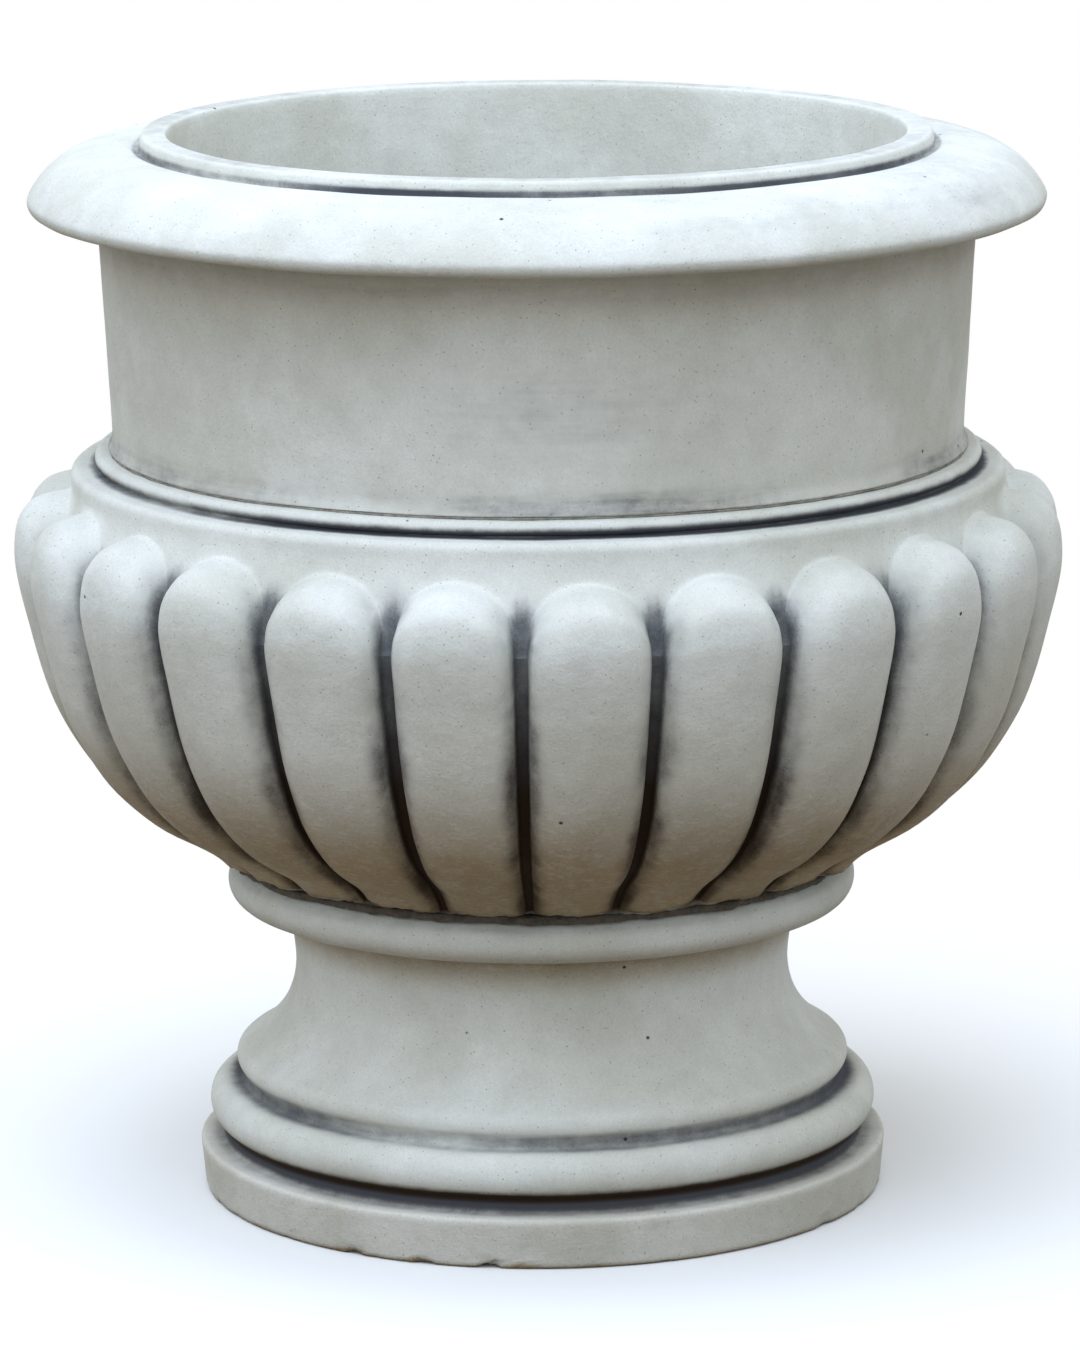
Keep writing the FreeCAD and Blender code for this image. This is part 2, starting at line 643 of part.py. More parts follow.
os.makedirs("parts", exist_ok=True)
for piece in PIECES:
    piece.Shape.exportStep(f"parts/{piece.Label}.step")
    box = piece.Shape.BoundBox
    print(f"{piece.Label}: {len(piece.Shape.Solids)} solid(s), "
          f"{piece.Shape.Volume / 1e6:.3f} litres, Z {box.ZMin:.1f} to {box.ZMax:.1f}")
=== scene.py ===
"""Urn planter in cast stone, dressed for a plain studio.

Three castings stand on one another on mortar beds: the turned foot, the bowl with its
24 gadroons, and the neck with its rolled rim and mouth lip. The pins, hoops and drain
sleeve that hold and drain the urn keep their own meshes and get their finishes here.
Outlines are given in millimetres of radius and height; the scene is in metres.
"""

import logging
import math
from collections.abc import Callable
from dataclasses import dataclass
from enum import Enum
from functools import partial

import bmesh
import bpy
from bmesh.types import BMesh, BMVert
from bpy.types import Material, Node, NodeSocket, NodeTree, Object
from mathutils import Matrix, Vector, noise


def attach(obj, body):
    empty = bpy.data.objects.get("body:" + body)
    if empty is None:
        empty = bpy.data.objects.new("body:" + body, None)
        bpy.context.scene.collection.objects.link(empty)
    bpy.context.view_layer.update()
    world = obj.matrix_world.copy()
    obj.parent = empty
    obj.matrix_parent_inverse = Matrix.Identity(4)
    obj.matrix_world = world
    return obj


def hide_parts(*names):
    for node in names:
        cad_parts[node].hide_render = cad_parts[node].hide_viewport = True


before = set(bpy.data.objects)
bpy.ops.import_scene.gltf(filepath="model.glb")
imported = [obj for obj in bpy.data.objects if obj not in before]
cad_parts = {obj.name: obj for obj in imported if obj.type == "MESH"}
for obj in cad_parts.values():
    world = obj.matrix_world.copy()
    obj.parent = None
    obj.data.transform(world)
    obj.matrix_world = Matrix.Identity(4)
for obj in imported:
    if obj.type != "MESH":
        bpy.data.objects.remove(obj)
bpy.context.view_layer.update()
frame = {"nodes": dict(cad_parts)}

MM = 0.001
UP = Vector((0.0, 0.0, 1.0))
WHITE = "#FFFFFF"
# Step of a line that is drawn in one stretch
ONE_STEP = math.inf
# Radii in millimetres of the mouth, and of the hole for the drain sleeve
MOUTH = 272.5
DRAIN = 16.3
# Where nearly all values of a noise texture lie
SPREAD = {"From Min": 0.3, "From Max": 0.7}
# Node settings that recur
SMOOTH = {"interpolation_type": "SMOOTHSTEP"}
COLOURS = {"data_type": "RGBA"}
STAIN = {"data_type": "RGBA", "blend_type": "MULTIPLY"}
TIMES = {"operation": "MULTIPLY"}
TIMES_PLUS = {"operation": "MULTIPLY_ADD"}
log = logging.getLogger("urn_planter")


# Small helpers
def linear(code: str) -> tuple[float, float, float, float]:
    """Turn an sRGB hex code into a linear colour.

    Args:
        code: Six hex digits after a hash sign.

    Returns:
        Linear red, green and blue, and an alpha of one.
    """
    parts = [int(code[i:i + 2], 16) / 255 for i in (1, 3, 5)]
    red, green, blue = [
        c / 12.92 if c <= 0.04045 else ((c + 0.055) / 1.055) ** 2.4 for c in parts]
    return red, green, blue, 1.0


def per(size_mm: float) -> float:
    """Turn a feature's real size in millimetres into a texture scale in metres."""
    return 1000.0 / size_mm


def ease(low: float, high: float, value: float) -> float:
    """Run smoothly from 0 at `low` to 1 at `high`, either way round."""
    share = min(1.0, max(0.0, (value - low) / (high - low)))
    return share * share * (3 - 2 * share)


def in_mm(place: Vector) -> tuple[float, float]:
    """Give a place's radius and height in millimetres."""
    return place.xy.length / MM, place.z / MM


def waver(place: Vector, size_mm: float, seed: float) -> float:
    """Read a smooth uneven field.

    Args:
        place: Where to read it, in metres.
        size_mm: Length of its swells.
        seed: Which of many such fields.

    Returns:
        A value from about -1 to 1.
    """
    return noise.noise(place * per(size_mm) + Vector((seed, 2.3 * seed, -1.7 * seed)))


def add_node(
    tree: NodeTree,
    kind: str,
    settings: dict[str, object] | None = None,
    inputs: dict[str | int, object] | None = None,
) -> Node:
    """Add a node with its settings and links.

    Args:
        tree: Node tree that takes it.
        kind: Blender's name for the node, after "ShaderNode".
        settings: Its properties.
        inputs: For each socket, by name or place, a value, an output, or a node, which
            stands for the first output that its settings leave in use.

    Returns:
        The new node.
    """
    node = tree.nodes.new("ShaderNode" + kind)
    for name, value in (settings or {}).items():
        setattr(node, name, value)
    for name, value in (inputs or {}).items():
        if isinstance(value, Node):
            value = next(output for output in value.outputs if output.enabled)
        if isinstance(value, NodeSocket):
            tree.links.new(value, node.inputs[name])
        else:
            node.inputs[name].default_value = value
    return node


def new_material(name: str) -> tuple[Material, Callable[..., Node]]:
    """Start an empty material.

    Args:
        name: What the finish is.

    Returns:
        The material, and add_node for its node tree.
    """
    material = bpy.data.materials.new(name)
    material.use_nodes = True
    material.node_tree.nodes.clear()
    return material, partial(add_node, material.node_tree)


# Finishes
class Pour(Enum):
    """The castings, each poured from its own batch.

    Each has the place where its pattern is read from, and how its brush marks are
    squeezed along X, Y and Z: round the foot and the neck, and up the gadroons.
    """

    FOOT = (0.0, 0.0, 0.0), (1.0, 1.0, 11.0)
    BOWL = (3.1, 1.7, 0.4), (2.5, 2.5, 1.0)
    NECK = (-2.3, 4.9, 1.1), (1.0, 1.0, 11.0)


@dataclass(frozen=True)
class CastStone:
    """Off-white cast stone with a dark antique wash.

    White cement and crushed limestone are tamped into a mould, which leaves a fine sandy
    skin with pinholes. The maker brushes a dark wash on and wipes it off again, so it
    stays in slots and grooves and fades out in streaks. Rain and dust leave a brown
    film low on the bowl. The wash and film colours also paint shade: under the rim and
    the tori, on the right of the rim's top, on the lip, and on the bead's lower half;
    the lower bowl's brown is partly that film and partly painted warm shade. The dark
    colour of the pinholes is painted shade too.
    """

    pale: str = "#DDDFD8"
    shade: str = "#CFD0C6"
    fleck: str = "#77705F"
    # The pinholes' dark colour is painted shade in their hollows
    pinhole_shade: str = "#3B3833"
    # Colours of the wash, which also paint shade where a ring stands for shade
    cool_wash_and_shade: str = "#474A50"
    warm_wash_and_shade: str = "#2B1C0E"
    # Brown of the film, which also paints warm shade under the rim and tori and low on the bowl
    film: str = "#C8AE8A"
    roughness: float = 0.8
    ior: float = 1.5

    def material(self, pour: Pour) -> Material:
        """Mix the finish of one casting.

        Args:
            pour: Which casting it is for.

        Returns:
            The material.
        """
        material, add = new_material("cast_stone_" + pour.name.lower())
        batch, squeeze = pour.value
        place = add("TexCoord").outputs["Object"]
        body = add("Mapping", inputs={0: place, "Location": batch})
        wash = add("Attribute", {"attribute_name": "wash"}).outputs["Fac"]
        film = add("Attribute", {"attribute_name": "film"}).outputs["Fac"]

        # Batches and tamping: broad clouds 130 mm across, and smaller ones of 22 mm
        clouds = add("TexNoise", inputs={
            "Vector": body, "Scale": per(130), "Detail": 4.0, "Roughness": 0.55})
        broad = add("MapRange", SMOOTH, {"Value": clouds, "From Min": 0.38, "From Max": 0.64})
        colour = add("Mix", COLOURS, {0: broad, 6: linear(self.pale), 7: linear(self.shade)})
        puffs = add("TexNoise", inputs={
            "Vector": body, "Scale": per(22), "Detail": 5.0, "Roughness": 0.6})
        puffed = add("MapRange", inputs={"Value": puffs, **SPREAD, "To Min": 0.94, "To Max": 1.04})

        # Sand: coarse grains of 1.8 mm among the fine
        sand = add("TexNoise", inputs={
            "Vector": body, "Scale": per(1.8), "Detail": 2.0, "Roughness": 0.7})
        sanded = add("MapRange", inputs={"Value": sand, **SPREAD, "To Min": 0.93, "To Max": 1.06})
        tone = add("Math", TIMES, {0: puffed, 1: sanded})

        # The wash: it thins out softly from where it settled, and there it is broken up by
        # the sand, by patches of 14 mm and by brush marks 60 mm long. The rings that paint
        # shade are broken up in the same way
        patches = add("TexNoise", inputs={
            "Vector": body, "Scale": per(14), "Detail": 5.0, "Roughness": 0.55})
        stretched = add("Mapping", inputs={0: body, "Scale": squeeze})
        brush = add("TexNoise", inputs={
            "Vector": stretched, "Scale": per(60), "Detail": 3.0, "Roughness": 0.55})
        grain = add("Math", TIMES_PLUS, {0: sand, 1: 0.7, 2: patches})
        broken = add("Math", {"operation": "ADD"}, {0: grain, 1: brush})
        uneven = add("MapRange", {"clamp": False}, {
            "Value": broken, "From Min": 0.85, "From Max": 1.85, "To Min": -1.0, "To Max": 1.0})
        bare = add("Math", {"operation": "SUBTRACT"}, {0: 1.0, 1: wash})
        thin = add("Math", TIMES, {0: bare, 1: wash})
        level = add("Math", TIMES_PLUS, {0: thin, 1: uneven, 2: wash})
        coat = add("MapRange", SMOOTH, {"Value": level, "From Max": 1.05})

        # The film: brown, darkest where water hangs, mottled at 35 mm and finer. In places
        # this brown is painted warm shade: under the rim and the tori, and in part low on the bowl
        drift = add("TexNoise", inputs={
            "Vector": body, "Scale": per(35), "Detail": 8.0, "Roughness": 0.68})
        drifted = add("MapRange", inputs={"Value": drift, **SPREAD, "To Min": 0.82, "To Max": 1.15})
        film_and_shade_level = add("Math", {"operation": "MULTIPLY", "use_clamp": True}, {0: film, 1: drifted})
        # Where the film is thick its skin has dried into level wrinkles a few millimetres apart
        level_body = add("Mapping", inputs={0: body, "Scale": (1.0, 1.0, 2.2)})
        skin = add("TexNoise", inputs={
            "Vector": level_body, "Scale": per(11), "Detail": 7.0, "Roughness": 0.75})
        away = add("Math", {"operation": "SUBTRACT"}, {0: skin, 1: 0.5})
        fold = add("Math", {"operation": "ABSOLUTE"}, {0: away})
        crease = add("MapRange", SMOOTH, {
            "Value": fold, "From Min": 0.08, "From Max": 0.0, "To Max": 0.3})
        crust = add("Math", TIMES, {0: crease, 1: film})

        # Flecks of darker aggregate about 1 mm across, and pinholes of 2 to 3 mm, whose dark
        # colour is painted shade in their hollows
        small = add("TexVoronoi", inputs={"Vector": body, "Scale": per(4.6)})
        near = add("MapRange", SMOOTH, {
            "Value": small.outputs["Distance"], "From Min": 0.17, "From Max": 0.06, "To Max": 0.9})
        fleck = add("Math", TIMES, {0: near, 1: small.outputs["Color"]})
        large = add("TexVoronoi", inputs={"Vector": body, "Scale": per(34)})
        pit = add("MapRange", SMOOTH, {
            "Value": large.outputs["Distance"], "From Min": 0.05, "From Max": 0.025})
        some = add("Math", {"operation": "GREATER_THAN"}, {0: large.outputs["Color"], 1: 0.55})
        pinhole = add("Math", TIMES, {0: pit, 1: some})

        # Colour, from the body out
        toned = add("VectorMath", {"operation": "SCALE"}, {0: colour, "Scale": tone})
        flecked = add("Mix", COLOURS, {0: fleck, 6: toned, 7: linear(self.fleck)})
        with_film_and_shade = add("Mix", STAIN, {0: film_and_shade_level, 6: flecked, 7: linear(self.film)})
        wrinkled = add("Mix", STAIN, {0: crust, 6: with_film_and_shade, 7: linear(self.film)})
        browned = add("MapRange", inputs={"Value": film, "From Max": 0.3})
        wash_and_shade_tone = add("Mix", COLOURS, {
            0: browned, 6: linear(self.cool_wash_and_shade), 7: linear(self.warm_wash_and_shade)})
        washed_and_shaded = add("Mix", COLOURS, {0: coat, 6: wrinkled, 7: wash_and_shade_tone})
        with_pinhole_shade = add("Mix", COLOURS, {0: pinhole, 6: washed_and_shaded, 7: linear(self.pinhole_shade)})

        # Relief in millimetres: sand, tamping, pinholes, and the film's wrinkles
        sandy = add("Math", TIMES, {0: sand, 1: 0.22})
        crusted = add("Math", TIMES_PLUS, {0: crust, 1: -0.8, 2: sandy})
        tamped = add("Math", TIMES_PLUS, {0: puffs, 1: 1.3, 2: crusted})
        relief = add("Math", TIMES_PLUS, {0: pinhole, 1: -1.2, 2: tamped})
        normal = add("Bump", inputs={"Height": relief, "Distance": MM})

        rough = add("MapRange", inputs={
            "Value": puffs, **SPREAD,
            "To Min": self.roughness - 0.06, "To Max": self.roughness + 0.08})
        # The wash is dry pigment, full of pores, and hardly shines
        sheen = add("MapRange", inputs={"Value": coat, "To Min": 0.5, "To Max": 0.1})
        shader = add("BsdfPrincipled", inputs={
            "Base Color": with_pinhole_shade, "Roughness": rough, "IOR": self.ior,
            "Specular IOR Level": sheen, "Normal": normal})
        add("OutputMaterial", inputs={"Surface": shader})
        return material


@dataclass(frozen=True)
class BeddingMortar:
    """Bedding mortar: coarse sand and cement, squeezed out and left as it broke. Its default
    colours are darkened as painted shade of the joint under the bowl.
    """

    name: str = "bedding_mortar"
    # Darkened as painted shade of the joint under the bowl
    body: str = "#413A31"
    sand: str = "#675E50"
    roughness: float = 0.93
    ior: float = 1.5

    def material(self) -> Material:
        """Mix the finish.

        Returns:
            The material.
        """
        material, add = new_material(self.name)
        place = add("TexCoord").outputs["Object"]
        # Sand of 2 mm in lumps of 12 mm
        lumps = add("TexNoise", inputs={
            "Vector": place, "Scale": per(12), "Detail": 6.0, "Roughness": 0.7})
        share = add("MapRange", inputs={"Value": lumps, "From Min": 0.35, "From Max": 0.7})
        colour = add("Mix", COLOURS, {0: share, 6: linear(self.body), 7: linear(self.sand)})
        grit = add("TexVoronoi", inputs={"Vector": place, "Scale": per(2.4)})
        height = add("Math", TIMES_PLUS, {0: lumps, 1: 2.5, 2: grit})
        normal = add("Bump", inputs={"Height": height, "Distance": MM})
        shader = add("BsdfPrincipled", inputs={
            "Base Color": colour, "Roughness": self.roughness, "IOR": self.ior, "Normal": normal})
        add("OutputMaterial", inputs={"Surface": shader})
        return material


@dataclass(frozen=True)
class DrawnStainless:
    """Drawn stainless bar, as the pins are cut from: grey, with fine marks along the bar."""

    bright: str = "#B4B5B6"
    dull: str = "#8E9092"

    def material(self) -> Material:
        """Mix the finish.

        Returns:
            The material.
        """
        material, add = new_material("drawn_stainless_steel")
        place = add("TexCoord").outputs["Object"]
        # Draw marks 0.8 mm apart and 50 mm long, up the pin
        along = add("Mapping", inputs={0: place, "Scale": (60.0, 60.0, 1.0)})
        marks = add("TexNoise", inputs={"Vector": along, "Scale": per(50), "Detail": 3.0})
        colour = add("Mix", COLOURS, {0: marks, 6: linear(self.dull), 7: linear(self.bright)})
        rough = add("MapRange", inputs={"Value": marks, "To Min": 0.28, "To Max": 0.46})
        shader = add("BsdfPrincipled", inputs={
            "Base Color": colour, "Roughness": rough, "Metallic": 1.0})
        add("OutputMaterial", inputs={"Surface": shader})
        return material


@dataclass(frozen=True)
class HotDipZinc:
    """Hot-dip galvanised bar: dull zinc in crystals that meet in faint edges."""

    light: str = "#A9AEB0"
    dark: str = "#868C8F"

    def material(self) -> Material:
        """Mix the finish.

        Returns:
            The material.
        """
        material, add = new_material("hot_dip_zinc")
        place = add("TexCoord").outputs["Object"]
        # Crystals of about 7 mm
        crystals = add("TexVoronoi", inputs={"Vector": place, "Scale": per(7)}).outputs["Color"]
        colour = add("Mix", COLOURS, {0: crystals, 6: linear(self.dark), 7: linear(self.light)})
        rough = add("MapRange", inputs={"Value": crystals, "To Min": 0.42, "To Max": 0.6})
        shader = add("BsdfPrincipled", inputs={
            "Base Color": colour, "Roughness": rough, "Metallic": 1.0})
        add("OutputMaterial", inputs={"Surface": shader})
        return material


@dataclass(frozen=True)
class ExtrudedPVC:
    """Grey PVC pipe: satin, with faint draw lines and a little lime from the water."""

    body: str = "#6A6D70"
    lime: str = "#A3A39B"
    roughness: float = 0.42
    ior: float = 1.53

    def material(self) -> Material:
        """Mix the finish.

        Returns:
            The material.
        """
        material, add = new_material("extruded_grey_pvc")
        place = add("TexCoord").outputs["Object"]
        # Lime in patches of 15 mm
        patches = add("TexNoise", inputs={
            "Vector": place, "Scale": per(15), "Detail": 7.0, "Roughness": 0.65})
        share = add("MapRange", SMOOTH, {"Value": patches, "From Min": 0.5, "From Max": 0.72})
        colour = add("Mix", COLOURS, {0: share, 6: linear(self.body), 7: linear(self.lime)})
        rough = add("MapRange", inputs={"Value": share, "To Min": self.roughness, "To Max": 0.8})
        normal = add("Bump", inputs={"Height": patches, "Distance": 0.2 * MM})
        shader = add("BsdfPrincipled", inputs={
            "Base Color": colour, "Roughness": rough, "IOR": self.ior, "Normal": normal})
        add("OutputMaterial", inputs={"Surface": shader})
        return material


# Turning
@dataclass(frozen=True)
class WashAndShadeLine:
    """A ring in which the wash settled, or in places a ring of painted shade, in millimetres:
    full in its core, then thinning out.

    More of it may lie on the front or on the right, where the brush was fuller; where a
    ring is painted shade, more on the right is the shade of the side away from the light.
    """

    radius: float
    height: float
    core: float
    spread: float
    strength: float = 1.0
    patchy: float = 0.2
    front: float = 0.0
    right: float = 0.0

    def level(self, place: Vector) -> float:
        """Tell how much wash lies at a place, and for a ring of painted shade how much shade.

        Args:
            place: Where, in metres.

        Returns:
            A level from 0 to 1.
        """
        radius, height = in_mm(place)
        away = math.hypot(radius - self.radius, height - self.height)
        if away > self.core + self.spread:
            return 0.0
        out = place.xy.normalized()
        share = (1 + self.patchy * 2 * waver(place, 150, self.radius)) * (
            1 + self.right * out.x - self.front * out.y)
        thinned = ease(self.core + self.spread, self.core, away)
        return min(1.0, max(0.0, share) * self.strength * thinned)


class Outline:
    """An outline in the half plane of radius and height, drawn by a point that moves."""

    def __init__(self, mesh: BMesh, radius: float, height: float) -> None:
        """Start the outline.

        Args:
            mesh: Mesh that takes the outline.
            radius: Where it starts, in millimetres.
            height: Where it starts, in millimetres.
        """
        self.mesh = mesh
        self.tip = mesh.verts.new((radius * MM, 0.0, height * MM))

    def line(self, radius: float, height: float, step: float = 3.0) -> None:
        """Draw a straight stretch.

        Args:
            radius: Its far end, in millimetres.
            height: Its far end, in millimetres.
            step: About how far apart its points are.
        """
        way = Vector((radius * MM, 0.0, height * MM)) - self.tip.co
        count = max(1, round(way.length / (step * MM)))
        for _ in range(count):
            self.tip = bmesh.ops.extrude_vert_indiv(self.mesh, verts=[self.tip])["verts"][0]
            bmesh.ops.translate(self.mesh, verts=[self.tip], vec=way / count)

    def arc(self, radius: float, height: float, bulge: float, step: float = 3.0) -> None:
        """Draw an arc.

        Args:
            radius: Its far end, in millimetres.
            height: Its far end, in millimetres.
            bulge: How far it stands out to the right of its chord, in millimetres.
            step: About how far apart its points are.
        """
        end = Vector((radius * MM, 0.0, height * MM))
        chord = end - self.tip.co
        rise = bulge * MM
        right = Vector((chord.z, 0.0, -chord.x)).normalized()
        bend = (chord.length ** 2 / 4 + rise ** 2) / (2 * rise)
        centre = (self.tip.co + end) / 2 + right * (rise - bend)
        sweep = 4 * math.atan2(rise, chord.length / 2)
        turned = bmesh.ops.spin(
            self.mesh, geom=[self.tip], cent=centre, axis=(0.0, -1.0, 0.0), angle=sweep,
            steps=max(2, round(abs(sweep * bend) / (step * MM))), use_duplicate=False)
        self.tip = next(v for v in turned["geom_last"] if isinstance(v, BMVert))

    def close(self) -> None:
        """Join the outline's last point to its first, which lie at the same place."""
        bmesh.ops.remove_doubles(self.mesh, verts=self.mesh.verts[:], dist=0.05 * MM)


def soften(mesh: BMesh, times: int, verts: list[BMVert] | None = None) -> None:
    """Round corners as a worn mould does.

    Args:
        mesh: The mesh.
        times: How many passes.
        verts: Which of its points, or all of them.
    """
    for _ in range(times):
        bmesh.ops.smooth_vert(mesh, verts=verts or mesh.verts[:], factor=0.5,
                              use_axis_x=True, use_axis_y=True, use_axis_z=True)


def turn(mesh: BMesh, sectors: int, columns: int) -> None:
    """Spin a whole outline round the Z axis into a closed skin, a sector first and then all.

    Args:
        mesh: Mesh that holds the outline.
        sectors: Equal sectors round the axis.
        columns: Faces round the axis in one sector.
    """
    sector = math.tau / sectors
    for angle, steps, copies in ((sector, columns, False), (math.tau - sector, sectors - 1, True)):
        geometry = mesh.verts[:] + mesh.edges[:] + mesh.faces[:]
        bmesh.ops.spin(mesh, geom=geometry, cent=(0.0, 0.0, 0.0), axis=UP, angle=angle,
                       steps=steps, use_merge=False, use_duplicate=copies)
    bmesh.ops.remove_doubles(mesh, verts=mesh.verts[:], dist=0.02 * MM)


def finish_piece(mesh: BMesh, name: str, material: Material, node: str) -> Object:
    """Make a piece of a mesh, and let it stand for a CAD node.

    Args:
        mesh: The finished mesh, which is freed.
        name: The piece's name.
        material: Its finish.
        node: The CAD node that it replaces.

    Returns:
        The piece.
    """
    bmesh.ops.recalc_face_normals(mesh, faces=mesh.faces[:])
    for face in mesh.faces:
        face.smooth = True
    data = bpy.data.meshes.new(name)
    mesh.to_mesh(data)
    mesh.free()
    data.materials.append(material)
    piece = bpy.data.objects.new(name, data)
    bpy.context.scene.collection.objects.link(piece)
    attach(piece, "root")
    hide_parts(node)
    log.info("%s: %d faces, for %s", name, len(data.polygons), node)
    return piece


def lay_wash_and_shade(
    mesh: BMesh,
    lines: tuple[WashAndShadeLine, ...],
    film: Callable[[Vector], float] | None = None,
) -> None:
    """Write how much wash and film each point of a turned skin carries, painted shade
    included where rings or the film stand for shade.

    Args:
        mesh: The skin.
        lines: Where wash settled, and where rings paint shade.
        film: Gives the film at a place, painted shade included.
    """
    wash_and_shade_layer = mesh.verts.layers.float.new("wash")
    film_and_shade_layer = mesh.verts.layers.float.new("film")
    for vert in mesh.verts:
        vert[wash_and_shade_layer] = max((line.level(vert.co) for line in lines), default=0.0)
        vert[film_and_shade_layer] = film(vert.co) if film else 0.0


def sag(mesh: BMesh, depth: float, seed: float) -> None:
    """Make a skin uneven, as a hand-packed mould leaves it.

    Args:
        mesh: The skin, whose normals point outwards.
        depth: How far it may stand in or out, in millimetres.
        seed: Which unevenness.
    """
    bmesh.ops.recalc_face_normals(mesh, faces=mesh.faces[:])
    mesh.normal_update()
    moves = []
    for vert in mesh.verts:
        swell = 0.65 * waver(vert.co, 95, seed) + 0.35 * waver(vert.co, 34, seed + 5)
        moves.append(vert.normal * (swell * depth * MM))
    for vert, move in zip(mesh.verts, moves):
        if vert.co.z > 0.5 * MM:
            vert.co += move


# Castings
@dataclass
class FootCasting:
    """The turned foot: plinth, lower torus, cavetto and upper torus over an open hollow."""

    stone: CastStone
    sectors: int = 24
    columns: int = 15
    plinth_radius: float = 259.0
    plinth_height: float = 38.0
    torus_radius: float = 241.0
    fillet_radius: float = 226.5
    seat_radius: float = 220.5
    top: float = 252.0

    # Chips, in millimetres: how deep, and the edge that they keep to
    chip_depth: float = 6.0
    chip_radius: float = 246.0
    chip_height: float = 12.0
    struck_angle: float = -108.0

    def build(self) -> Object:
        """Turn the foot, chip its lower edge and dress it.

        Returns:
            The piece.
        """
        mesh = bmesh.new()
        line = Outline(mesh, DRAIN, self.top)
        line.line(DRAIN, 196, 14)
        line.line(96, 196, 12)
        line.line(150, 0, 16)
        line.line(self.chip_radius, 0, 14)
        line.line(255.5, 0, 2.4)
        line.line(self.plinth_radius, self.plinth_height - 3, 2.4)
        line.arc(self.plinth_radius - 3, self.plinth_height, 0.9, 1.5)
        line.line(self.torus_radius, self.plinth_height)
        line.line(self.torus_radius, 49, 2.2)
        line.arc(self.torus_radius, 82, 10.5, 2.2)
        line.line(self.fillet_radius, 82, 2.4)
        line.line(self.fillet_radius, 90, 2.0)
        line.arc(224, 109, 5.8, 2.0)
        line.arc(186, 182, -12.9)
        line.arc(198, 220, -2.5)
        line.line(self.seat_radius, 220)
        line.arc(self.seat_radius, self.top, 15.5, 2.4)
        line.line(DRAIN, self.top, 12)
        line.close()
        soften(mesh, 2)
        turn(mesh, self.sectors, self.columns)
        sag(mesh, 0.7, 11.0)
        self._chip(mesh)
        lay_wash_and_shade(mesh, (
            WashAndShadeLine(243, 47, 2.5, 12, 1.2, 0.12),
            WashAndShadeLine(228, 85, 2, 12, 0.92, 0.3, -0.3),
            # Painted shade in the cove under the upper torus
            WashAndShadeLine(200, 221, 2, 18, 0.3),
            # Painted shadow of the bowl on the top of the upper torus
            WashAndShadeLine(233, 250, 2, 9, 0.25),
        ), self._film_and_shade)
        return finish_piece(mesh, "foot_casting", self.stone.material(Pour.FOOT),
                            "foot")

    def _film_and_shade(self, place: Vector) -> float:
        """Tell how brown the foot is, with painted shade under its two tori.

        Args:
            place: Where, in metres.

        Returns:
            A level from 0 to 1.
        """
        radius, height = in_mm(place)
        earth = 7 * max(0.0, waver(place, 28, 43)) * self._struck(place)
        return max(
            ease(4, 0, height - earth),                                  # at the ground
            0.18 * ease(44, 36, height),                                 # on the plinth
            0.3 * ease(62, 52, height) * ease(44, 48, height),           # painted shade under the lower torus
            0.9 * ease(180, 220, height) * ease(222, 214, radius),       # painted shade high in the cavetto, under the upper torus
            0.45 * ease(236, 222, height) * ease(215, 221, height),      # painted shade under the upper torus
            0.55 * ease(160, 150, radius),                               # in the hollow
        )

    def _struck(self, place: Vector) -> float:
        """Tell how hard the lower edge was struck, most of all at the front left."""
        angle = math.degrees(math.atan2(place.y, place.x))
        return 0.35 + 0.65 * ease(30, 8, abs(angle - self.struck_angle))

    def _chip(self, mesh: BMesh) -> None:
        """Break the plinth's lower edge where it was set down.

        Args:
            mesh: The foot.
        """
        for vert in mesh.verts:
            radius, height = in_mm(vert.co)
            if radius < self.chip_radius or height > self.chip_height:
                continue
            bite = max(0.0, waver(vert.co, 17, 31) + 0.55 * waver(vert.co, 6, 37) - 0.12)
            hold = ease(self.chip_height, 0, height)
            worn = self._struck(vert.co) * bite * hold * self.chip_depth
            vert.co.z += worn * MM
            vert.co.xy *= 1 - 0.8 * worn / radius


